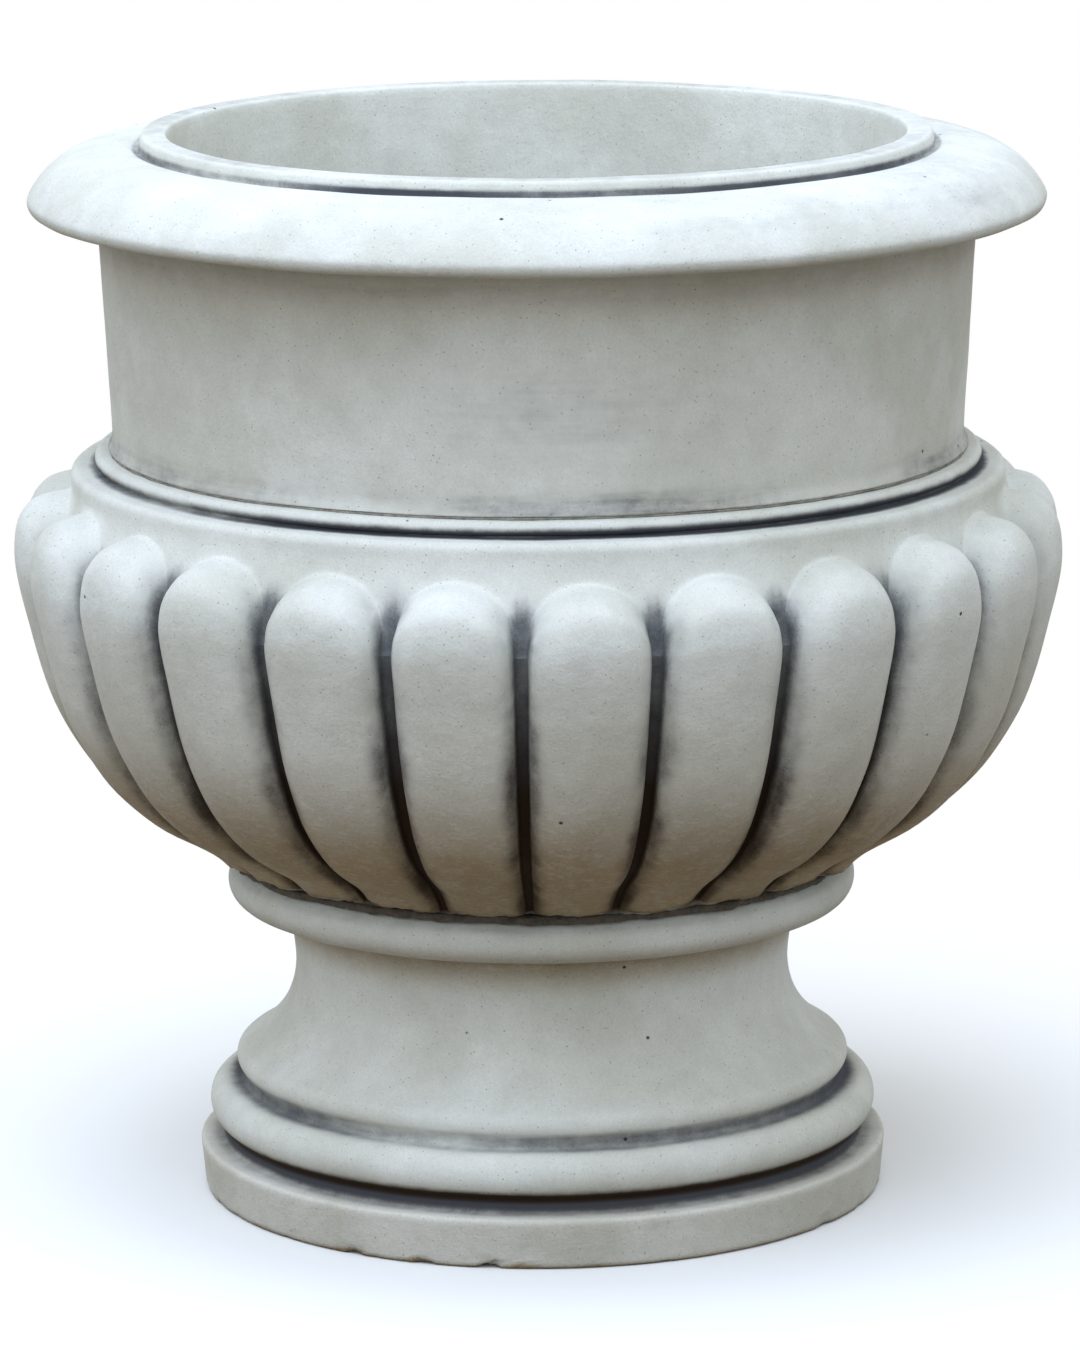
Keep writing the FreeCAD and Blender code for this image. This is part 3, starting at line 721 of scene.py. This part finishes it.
@dataclass
class BowlCasting:
    """The bowl: 24 gadroons round a turned core, a collar, and a bead that takes the neck."""

    stone: CastStone
    lobes: int = 24
    first_angle: float = -84.55
    half_columns: int = 14
    flank_columns: int = 12
    rows: int = 66
    spandrel_rows: int = 8
    row_step: float = 3.6
    base: float = 258.0
    lobe_height: float = 274.0
    base_radius: float = 239.0
    belly_radius: float = 391.0
    groove_depth: float = 25.0
    groove_base_depth: float = 9.0
    groove_width: float = 8.5
    groove_top: float = 0.872
    collar_radius: float = 347.5
    collar_face: float = 541.0
    collar_flare: float = 12.5
    bead_radius: float = 324.8
    top: float = 564.5
    even_reach: float = 300.0
    crown_power: float = 2.6
    dome_power: float = 2.0

    # How the gadroons' tops leave one level, and how far each gadroon leaves the others'
    # height, fullness and place, in millimetres
    tops_all_round: float = -1.5
    tops_at_sides: float = 5.5
    tops_at_front: float = -7.0
    unlike_height: float = 1.5
    unlike_fullness: float = 1.3
    unlike_place: float = 2.0

    # The lower edge, which the mortar tore: where it ends, in millimetres
    hem_height: float = 275.0
    hem_radius: float = 215.0

    # Crest of a gadroon: share of the spread from base to belly radius, share of the height
    crest: tuple[tuple[float, float], ...] = (
        (0.000, 0.000), (0.171, 0.066), (0.401, 0.139), (0.599, 0.239), (0.743, 0.354),
        (0.855, 0.485), (0.941, 0.661), (0.984, 0.765), (1.000, 0.836), (0.989, 0.909),
        (0.951, 0.953), (0.888, 0.983), (0.809, 0.997), (0.747, 1.002), (0.714, 1.009),
    )
    belly_point: int = 7

    def build(self) -> Object:
        """Turn the bowl, press its gadroons out and dress it.

        Returns:
            The piece.
        """
        mesh = bmesh.new()
        row_layer = mesh.verts.layers.int.new("row")
        line = Outline(mesh, DRAIN, self.base)
        line.line(self.base_radius - self.groove_base_depth, self.base, 70)
        rows = []
        for index in range(1, self.rows + self.spandrel_rows + 1):
            line.line(self.collar_radius, self.base + index * self.row_step, ONE_STEP)
            rows.append(line.tip)
        line.line(self.collar_radius, self.collar_face, ONE_STEP)
        line.line(self.collar_radius, 546.5, 3.2)
        line.arc(self.collar_radius - 6, 552.5, 1.76, 1.6)
        line.line(self.bead_radius, 553.5, 3.0)
        line.line(self.bead_radius, 554.5, 1.0)
        line.arc(self.bead_radius, self.top, 4.9, 1.4)
        line.line(MOUTH, self.top, 13)
        line.line(MOUTH, 532, 11)
        line.arc(322, 478, -12, 12)
        line.arc(200, 312, -29, 14)
        line.line(30.3, 303, 40)
        line.line(30.3, 298, 6)
        line.line(DRAIN, 298, 8)
        line.line(DRAIN, self.base, 20)
        for index, vert in enumerate(rows, start=1):
            vert[row_layer] = index
        line.close()
        turn(mesh, self.lobes, 2 * self.half_columns)
        return self._press(mesh)

    def _along(self, points: list[Vector], share: float) -> Vector:
        """Read a smooth curve through points.

        Args:
            points: Points evenly spread along the curve's own measure.
            share: How far along, from 0 to 1.

        Returns:
            The place, radius as x and height as z.
        """
        span = share * (len(points) - 1)
        index = min(int(span), len(points) - 2)
        t = span - index
        before = points[index - 1] if index else 2 * points[0] - points[1]
        after = points[index + 2] if index + 2 < len(points) else 2 * points[-1] - points[-2]
        a, b = points[index], points[index + 1]
        return 0.5 * (2 * a + (b - before) * t + (2 * before - 5 * a + 4 * b - after) * t ** 2
                      + (3 * a - before - 3 * b + after) * t ** 3)

    def _crest_points(self) -> list[Vector]:
        """Work out the crest's points in millimetres, the last of them on the collar."""
        spread = self.belly_radius - self.base_radius
        return [Vector((self.base_radius + across * spread, 0, self.base + rise * self.lobe_height))
                for across, rise in self.crest]

    def _floor_points(self) -> list[Vector]:
        """Work out the groove floor's points, one under each point of the crest.

        Returns:
            The points in millimetres, radius as x and height as z.
        """
        crest = self._crest_points()
        floor = [crest[0] - Vector((self.groove_base_depth, 0, 0))]
        for index in range(1, self.belly_point + 1):
            along = (crest[index + 1] - crest[index - 1]).normalized()
            share = min(1.0, 2.2 * (crest[index].z - self.base) / self.lobe_height)
            depth = self.groove_base_depth + (self.groove_depth - self.groove_base_depth) * share
            floor.append(crest[index] + Vector((-along.z, 0, along.x)) * depth)
        belly = floor[-1]
        stop = self.base + self.groove_top * self.lobe_height
        steps = len(crest) - 1 - self.belly_point
        for step in range(1, steps + 1):
            share = step / steps
            end = self.collar_radius + self.collar_flare
            floor.append(Vector((belly.x + (end - belly.x) * ease(0, 1, share), 0,
                                 belly.z + (stop - belly.z) * share)))
        return floor

    def _core_radius(self, height: float) -> float:
        """Tell the core's radius over the grooves, where it turns out of the collar."""
        stop = self.base + self.groove_top * self.lobe_height
        return self.collar_radius + self.collar_flare * ease(self.collar_face, stop - 5, height)

    def _section(self, step: int, power: float) -> tuple[float, float]:
        """Read a gadroon's section: half a superellipse, and half of a level groove.

        Args:
            step: How many columns from the crest.
            power: How square it is, 2 for round.

        Returns:
            How far across half the pitch the column lies, and how far up to the crest.
        """
        groove_circle = math.tau * (self.belly_radius - self.groove_depth)
        gap = self.groove_width * self.lobes / groove_circle
        if step > self.flank_columns:
            rest = (step - self.flank_columns) / (self.half_columns - self.flank_columns)
            return 1 - gap + gap * rest, 0.0
        even, rise = step / self.flank_columns, power / 2
        lean = math.pi / 2 * even ** rise / (even ** rise + (1 - even) ** rise)
        across = math.sin(lean) ** (2 / power) * (1 - gap)
        return across, max(0.0, math.cos(lean)) ** (2 / power)

    def _press(self, mesh: BMesh) -> Object:
        """Press the gadroons out of the turned skin and dress it.

        Args:
            mesh: The turned skin, with the rows of the gadroons numbered.

        Returns:
            The piece.
        """
        crest, floor = self._crest_points(), self._floor_points()
        pitch = math.tau / self.lobes
        columns = 2 * self.half_columns
        first = math.radians(self.first_angle)
        row_layer = mesh.verts.layers.int["row"]
        depths = mesh.verts.layers.float.new("depth")
        for vert in mesh.verts:
            row, radius, height = vert[row_layer], vert.co.xy.length, vert.co.z
            if not row and min(radius, height) < self.even_reach * MM:
                continue  # the underside and the inside keep their even columns
            angle = math.atan2(vert.co.y, vert.co.x) - first
            count = round(angle / (pitch / columns))
            lobe, column = divmod(count + self.half_columns, columns)
            column -= self.half_columns
            share = min(1.0, row / self.rows) if row else 1.0
            domed = ease(0.45, 0.75, share)
            power = self.crown_power + (self.dome_power - self.crown_power) * domed
            across, crown = self._section(abs(column), power)
            if row:
                place = self._along(floor, share).lerp(self._along(crest, share), crown)
                radius, height = place.x * MM, place.z * MM
                beyond = (row - self.rows) / (self.spandrel_rows + 1)
                if beyond >= 0:
                    height += (self.collar_face * MM - height) * beyond
                    radius = self._core_radius(height / MM) * MM
                # how far down a gadroon's flank, from 0 to 1
                vert[depths] = (1 - crown) * (1 - max(0.0, beyond))
            turned = first + (lobe + math.copysign(across / 2, column)) * pitch
            vert.co = Vector((radius * math.cos(turned), radius * math.sin(turned), height))
        self._settle(mesh)
        self._vary(mesh)
        sag(mesh, 0.9, 3.0)
        self._hem(mesh)
        self._wash_and_shade(mesh)
        return finish_piece(mesh, "bowl_casting", self.stone.material(Pour.BOWL),
                            "gadrooned_bowl")

    def _settle(self, mesh: BMesh) -> None:
        """Soften the creases, most of all where the gadroons' tops run into the collar.

        Args:
            mesh: The bowl.
        """
        row_layer = mesh.verts.layers.int["row"]
        for start in (2, 2, self.rows - 14, self.rows - 7, self.rows - 1):
            soften(mesh, 1, [vert for vert in mesh.verts if start < vert[row_layer]])

    def _vary(self, mesh: BMesh) -> None:
        """Make each gadroon a little taller, fuller or more to one side than the next.

        The mould's joints let their tops sit lower at the front and higher at both sides.

        Args:
            mesh: The bowl.
        """
        row_layer = mesh.verts.layers.int["row"]
        pitch = math.tau / self.lobes
        first = math.radians(self.first_angle)
        last = self.rows + self.spandrel_rows
        for vert in mesh.verts:
            row = vert[row_layer]
            if not row:
                continue
            angle = math.atan2(vert.co.y, vert.co.x)
            lobe = round((angle - first) / pitch)
            off = (angle - first) / pitch - lobe
            hold = ease(0.5, 0.2, abs(off)) * ease(0, 8, row)
            topmost = ease(0.5, 0.8, row / self.rows) * ease(last, self.rows, row)
            mark = Vector((lobe % self.lobes * 7.31, 0.5, 0.5))
            out = Vector((vert.co.x, vert.co.y, 0)).normalized()
            ends = hold * ease(last, self.rows - 6, row)
            fuller = self.unlike_fullness * noise.noise(mark) * ends
            aside = self.unlike_place * noise.noise(mark + UP * 17) * ends
            higher = (self.unlike_height * noise.noise(mark + UP * 9) * hold + self.tops_all_round
                      + self.tops_at_sides * out.x ** 2
                      + self.tops_at_front * min(0.0, out.y) ** 2)
            vert.co += (out * fuller + UP * higher * topmost + out.cross(UP) * aside) * MM

    def _hem(self, mesh: BMesh) -> None:
        """Leave the bowl's lower edge ragged where it was bedded on wet mortar.

        Args:
            mesh: The bowl.
        """
        for vert in mesh.verts:
            radius, height = in_mm(vert.co)
            if height > self.hem_height or radius < self.hem_radius:
                continue
            torn = waver(vert.co, 26, 51) + 0.6 * waver(vert.co, 9, 57)
            hold = ease(self.hem_height, self.base, height)
            vert.co.z += (3.4 * torn - 1.2) * hold * MM
            vert.co.xy *= 1 + (1.6 * waver(vert.co, 12, 63) * hold) / radius

    def _wash_and_shade(self, mesh: BMesh) -> None:
        """Write the wash in the grooves and slots, with painted shade on the bead's lower half,
        and the film low on the bowl, which is partly painted warm shade.

        Args:
            mesh: The bowl.
        """
        lay_wash_and_shade(mesh, (
            # The slot under the bead: wash there, and painted shade on the bead's lower half
            WashAndShadeLine(328.5, 554.5, 2, 6.5, 0.92, 0.25, 0.0, 0.25),
            WashAndShadeLine(319, 566, 1, 5, 0.4, 0.9),
            WashAndShadeLine(239, 256, 2, 12, 0.9, 0.7),
        ))
        row_layer = mesh.verts.layers.int["row"]
        depths, wash, film = (
            mesh.verts.layers.float[name] for name in ("depth", "wash", "film"))
        for vert in mesh.verts:
            radius, height = in_mm(vert.co)
            if vert[row_layer]:
                low = ease(500, 330, height)
                deep = ease(0.25, 0.9, vert[depths]) * (0.8 + 0.2 * low)
                smear = ease(0.02, 0.45, vert[depths]) * (0.25 + 0.35 * low) * (
                    1 + 0.7 * waver(vert.co, 45, 91))
                share = ease(541, 505 + 16 * waver(vert.co, 70, 95), height)
                vert[wash] = min(1.0, max(vert[wash], share * max(deep, smear)))
                # Brown low on the bowl: partly a dirt film, partly painted warm shade of the lower
                # bowl
                vert[film] = 0.8 * ease(400, 290, height) + 0.2 * ease(490, 400, height)
            elif radius < 325 and 300 < height < 560:  # inside the well
                vert[film] = 0.5 * ease(430, 310, height)


@dataclass
class NeckCasting:
    """The neck: a plain drum under a rolled rim, with a thin lip round the mouth."""

    stone: CastStone
    sectors: int = 24
    columns: int = 16
    base: float = 566.5
    top: float = 800.0

    def build(self) -> Object:
        """Turn the neck and dress it.

        Returns:
            The piece.
        """
        mesh = bmesh.new()
        line = Outline(mesh, MOUTH, self.base)
        line.line(316, self.base, 9)
        line.line(320.5, self.base, 1.5)
        line.arc(316.5, self.base + 14, -1.6, 1.6)
        line.line(324, 723, 5)
        line.arc(342, 743, -5.4, 2.6)
        line.line(367, 742.5, 4)
        line.line(373.5, 744.5, 1.3)
        line.arc(376.3, 752.5, 0.7, 1.3)
        line.arc(345, 783, 3.9, 2.2)
        line.arc(299, 789.5, 2.3)
        line.line(294, 787, 2.0)
        line.line(292.5, 796.8, 1.8)
        line.arc(289.3, self.top, 0.95, 1.2)
        line.line(275.7, self.top, 2.4)
        line.arc(MOUTH, 796.8, 0.95, 1.2)
        line.line(MOUTH, self.base, 9)
        line.close()
        soften(mesh, 2)
        turn(mesh, self.sectors, self.columns)
        sag(mesh, 0.9, 21.0)
        lay_wash_and_shade(mesh, (
            WashAndShadeLine(294.3, 789, 2.5, 4, 0.55, 0.4, 0.8),
            # The lip's top: a thin wash, made stronger as painted shade of the lip
            WashAndShadeLine(282.5, 802, 6, 5, 0.3, 0.2),
            # Painted shade on the right of the rim's top, the side away from the light
            WashAndShadeLine(335, 786, 30, 20, 0.1, 0.3, 0.0, 1.0),
            # Smudges at the neck's foot, partly wash and partly painted shade
            WashAndShadeLine(319, 569, 2, 24, 0.5, 0.6, -0.3, 0.2),
            WashAndShadeLine(319, 640, 10, 60, 0.1, 1.0),
            # Painted shade under the rim: on the neck's top and on the rim's underside
            WashAndShadeLine(325, 728, 4, 24, 0.16),
            WashAndShadeLine(360, 742, 6, 11, 0.16),
        ), self._film_and_shade)
        return finish_piece(mesh, "neck_casting", self.stone.material(Pour.NECK),
                            "neck_and_rim")

    def _film_and_shade(self, place: Vector) -> float:
        """Tell how brown the neck is: faintly, and more under the rim, where the brown is painted
        shade.

        Args:
            place: Where, in metres.

        Returns:
            A level from 0 to 1.
        """
        radius, height = in_mm(place)
        # A faint film, and painted warm shade under the rim
        faint_film_and_rim_shade = 0.08 + 0.32 * ease(690, 740, height)
        return faint_film_and_rim_shade * ease(750, 744, height) * ease(300, 312, radius)


@dataclass
class MortarBeds:
    """The two beds of mortar, squeezed out unevenly between the castings."""

    bedding: BeddingMortar
    pointing: BeddingMortar
    sectors: int = 24
    columns: int = 15

    def build(self) -> list[Object]:
        """Lay both beds.

        Returns:
            The pieces.
        """
        under = self._bed(inner=40, outer=231, low=252, high=258, swell=3, torn=4.2, seed=71)
        over = self._bed(inner=273.5, outer=318.9, low=564.5, high=566.5, swell=0.3, torn=0.9,
                         seed=83)
        return [
            finish_piece(under, "foot_mortar", self.bedding.material(),
                         "foot_mortar_bed"),
            finish_piece(over, "neck_mortar", self.pointing.material(),
                         "neck_mortar_bed"),
        ]

    def _bed(self, inner: float, outer: float, low: float, high: float,
             swell: float, torn: float, seed: float) -> BMesh:
        """Lay one bed.

        Args:
            inner: Its inner radius, in millimetres.
            outer: Its outer radius.
            low: Its underside.
            high: Its top.
            swell: How far it bulges out of the joint.
            torn: How uneven its edge is.
            seed: Which unevenness.

        Returns:
            Its mesh.
        """
        mesh = bmesh.new()
        line = Outline(mesh, inner, low)
        line.line(outer - 12, low, 30)
        line.line(outer, low, 3)
        line.arc(outer, high, swell, 1.2)
        line.line(outer - 12, high, 3)
        line.line(inner, high, 30)
        line.line(inner, low, 3)
        line.close()
        turn(mesh, self.sectors, self.columns)
        for vert in mesh.verts:
            radius, _ = in_mm(vert.co)
            if radius > outer - 6:
                rag = waver(vert.co, 19, seed) + 0.6 * waver(vert.co, 7, seed + 3)
                vert.co.xy *= 1 + torn * rag / radius
                if radius > outer + 0.3 * swell:
                    vert.co.z += 0.3 * torn * waver(vert.co, 13, seed + 7) * MM
        return mesh


# What is cast in or built in
@dataclass
class BuiltIn:
    """The pins, hoops and drain sleeve, which keep their meshes."""

    nodes: dict[str, Object]

    def dress(self) -> None:
        """Give each of them its finish."""
        stainless, zinc, pvc = (
            finish.material() for finish in (DrawnStainless(), HotDipZinc(), ExtrudedPVC()))
        finishes = {
            "foot_dowels": stainless,
            "neck_dowels": stainless,
            "rim_hoop": zinc,
            "bowl_hoops": zinc,
            "plinth_hoop": zinc,
            "drain_sleeve": pvc,
        }
        for name, finish in finishes.items():
            for slot in self.nodes[name].material_slots:
                slot.material = finish
            log.info("%s: %s", name, finish.name)


# Studio
@dataclass
class Studio:
    """A pale floor, soft light from above and a long lens at a standing person's eye height."""

    eye: tuple[float, float, float] = (0.0, -5.1184, 1.4584)
    look_down: float = 11.82
    roll: float = 0.37
    focal_length: float = 186.0
    sensor_width: float = 36.0
    lamps_aim: tuple[float, float, float] = (0.0, 0.0, 0.45)
    floor_size: float = 30.0
    floor_colour: str = "#F4F4F2"
    floor_fade: tuple[float, float] = (0.3, 1.2)
    bounce_colour: str = "#6A6258"
    air_colour: str = "#E2E7EC"
    air_strength: float = 1.14

    def build(self) -> None:
        """Set up the floor, the air, the lamps and the camera."""
        self._floor()
        self._air()
        self._lamp("overhead", (-0.9, -1.8, 6.0), 5.6, 345.0, "#D3E3FF")
        self._lamp("front_left", (-2.2, -3.7, 1.9), 1.8, 12.0, "#F5F6FF")
        self._camera()

    def _floor(self) -> None:
        """Lay the floor: matt white paint that keeps the urn's shadow and fades to white."""
        mesh = bmesh.new()
        bmesh.ops.create_grid(mesh, x_segments=1, y_segments=1, size=self.floor_size)
        data = bpy.data.meshes.new("studio_floor")
        mesh.to_mesh(data)
        mesh.free()
        floor = bpy.data.objects.new("studio_floor", data)
        bpy.context.scene.collection.objects.link(floor)
        material, add = new_material("matt_white_paint")
        clear = self._seen(add)
        colour = add("Mix", COLOURS, {
            0: clear, 6: linear(self.bounce_colour), 7: linear(self.floor_colour)})
        paint = add("BsdfDiffuse", inputs={"Color": colour})
        white = add("Emission", inputs={"Color": linear(WHITE)})
        # Away from the urn the floor passes into the white of the background
        place = add("TexCoord").outputs["Object"]
        away = add("VectorMath", {"operation": "LENGTH"}, {0: place})
        near, far = self.floor_fade
        fade = add("MapRange", SMOOTH, {"Value": away, "From Min": near, "From Max": far})
        share = add("Math", TIMES, {0: fade, 1: clear})
        shader = add("MixShader", inputs={0: share, 1: paint, 2: white})
        add("OutputMaterial", inputs={"Surface": shader})
        data.materials.append(material)

    def _seen(self, add: Callable[..., Node]) -> Node:
        """Tell where the camera sees a material, by itself, in a mirror or through glass.

        Args:
            add: Adds a node to the material or the world.

        Returns:
            A node that gives 1 there and 0 for all other light.
        """
        ray = add("LightPath").outputs
        seen = add("Math", {"operation": "MAXIMUM"}, {
            0: ray["Is Camera Ray"], 1: ray["Is Glossy Ray"]})
        return add("Math", {"operation": "MAXIMUM"}, {0: seen, 1: ray["Is Transmission Ray"]})

    def _air(self) -> None:
        """Fill the room with even light, and show it as white."""
        world = bpy.data.worlds.new("studio_air")
        world.use_nodes = True
        world.node_tree.nodes.clear()
        add = partial(add_node, world.node_tree)
        clear = self._seen(add)
        light = add("Background", inputs={
            "Color": linear(self.air_colour), "Strength": self.air_strength})
        white = add("Background", inputs={"Color": linear(WHITE)})
        mixed = add("MixShader", inputs={0: clear, 1: light, 2: white})
        add("OutputWorld", inputs={"Surface": mixed})
        bpy.context.scene.world = world

    def _lamp(self, name: str, place: tuple[float, float, float], side: float, watts: float,
              colour: str) -> None:
        """Hang a soft square lamp that looks at the urn.

        Args:
            name: The lamp's name.
            place: Where it hangs, in metres.
            side: Its side, in metres.
            watts: Its power.
            colour: Its colour.
        """
        data = bpy.data.lights.new(name, "AREA")
        data.shape = "SQUARE"
        data.size = side
        data.energy = watts
        data.color = linear(colour)[:3]
        lamp = bpy.data.objects.new(name, data)
        aim = Vector(self.lamps_aim) - Vector(place)
        turned = aim.to_track_quat("-Z", "Y").to_matrix().to_4x4()
        lamp.matrix_world = Matrix.Translation(place) @ turned
        bpy.context.scene.collection.objects.link(lamp)

    def _camera(self) -> None:
        """Put the camera at the photographer's eye."""
        data = bpy.data.cameras.new("long_lens")
        data.lens = self.focal_length
        data.sensor_width = self.sensor_width
        camera = bpy.data.objects.new("long_lens", data)
        tilt = Matrix.Rotation(math.radians(90 - self.look_down), 4, "X")
        turned = Matrix.Rotation(math.radians(-self.roll), 4, "Z")
        camera.matrix_world = Matrix.Translation(self.eye) @ tilt @ turned
        bpy.context.scene.collection.objects.link(camera)
        bpy.context.scene.camera = camera
        bpy.context.scene.view_settings.view_transform = "Standard"


def main() -> None:
    """Build the studio and the urn."""
    logging.basicConfig(level=logging.INFO, format="%(name)s: %(message)s")
    Studio().build()
    stone = CastStone()
    FootCasting(stone).build()
    BowlCasting(stone).build()
    NeckCasting(stone).build()
    MortarBeds(BeddingMortar(), BeddingMortar("pointing_mortar", "#77736A", "#A7A49A")).build()
    BuiltIn(frame["nodes"]).dress()


if __name__ == "__main__":
    main()
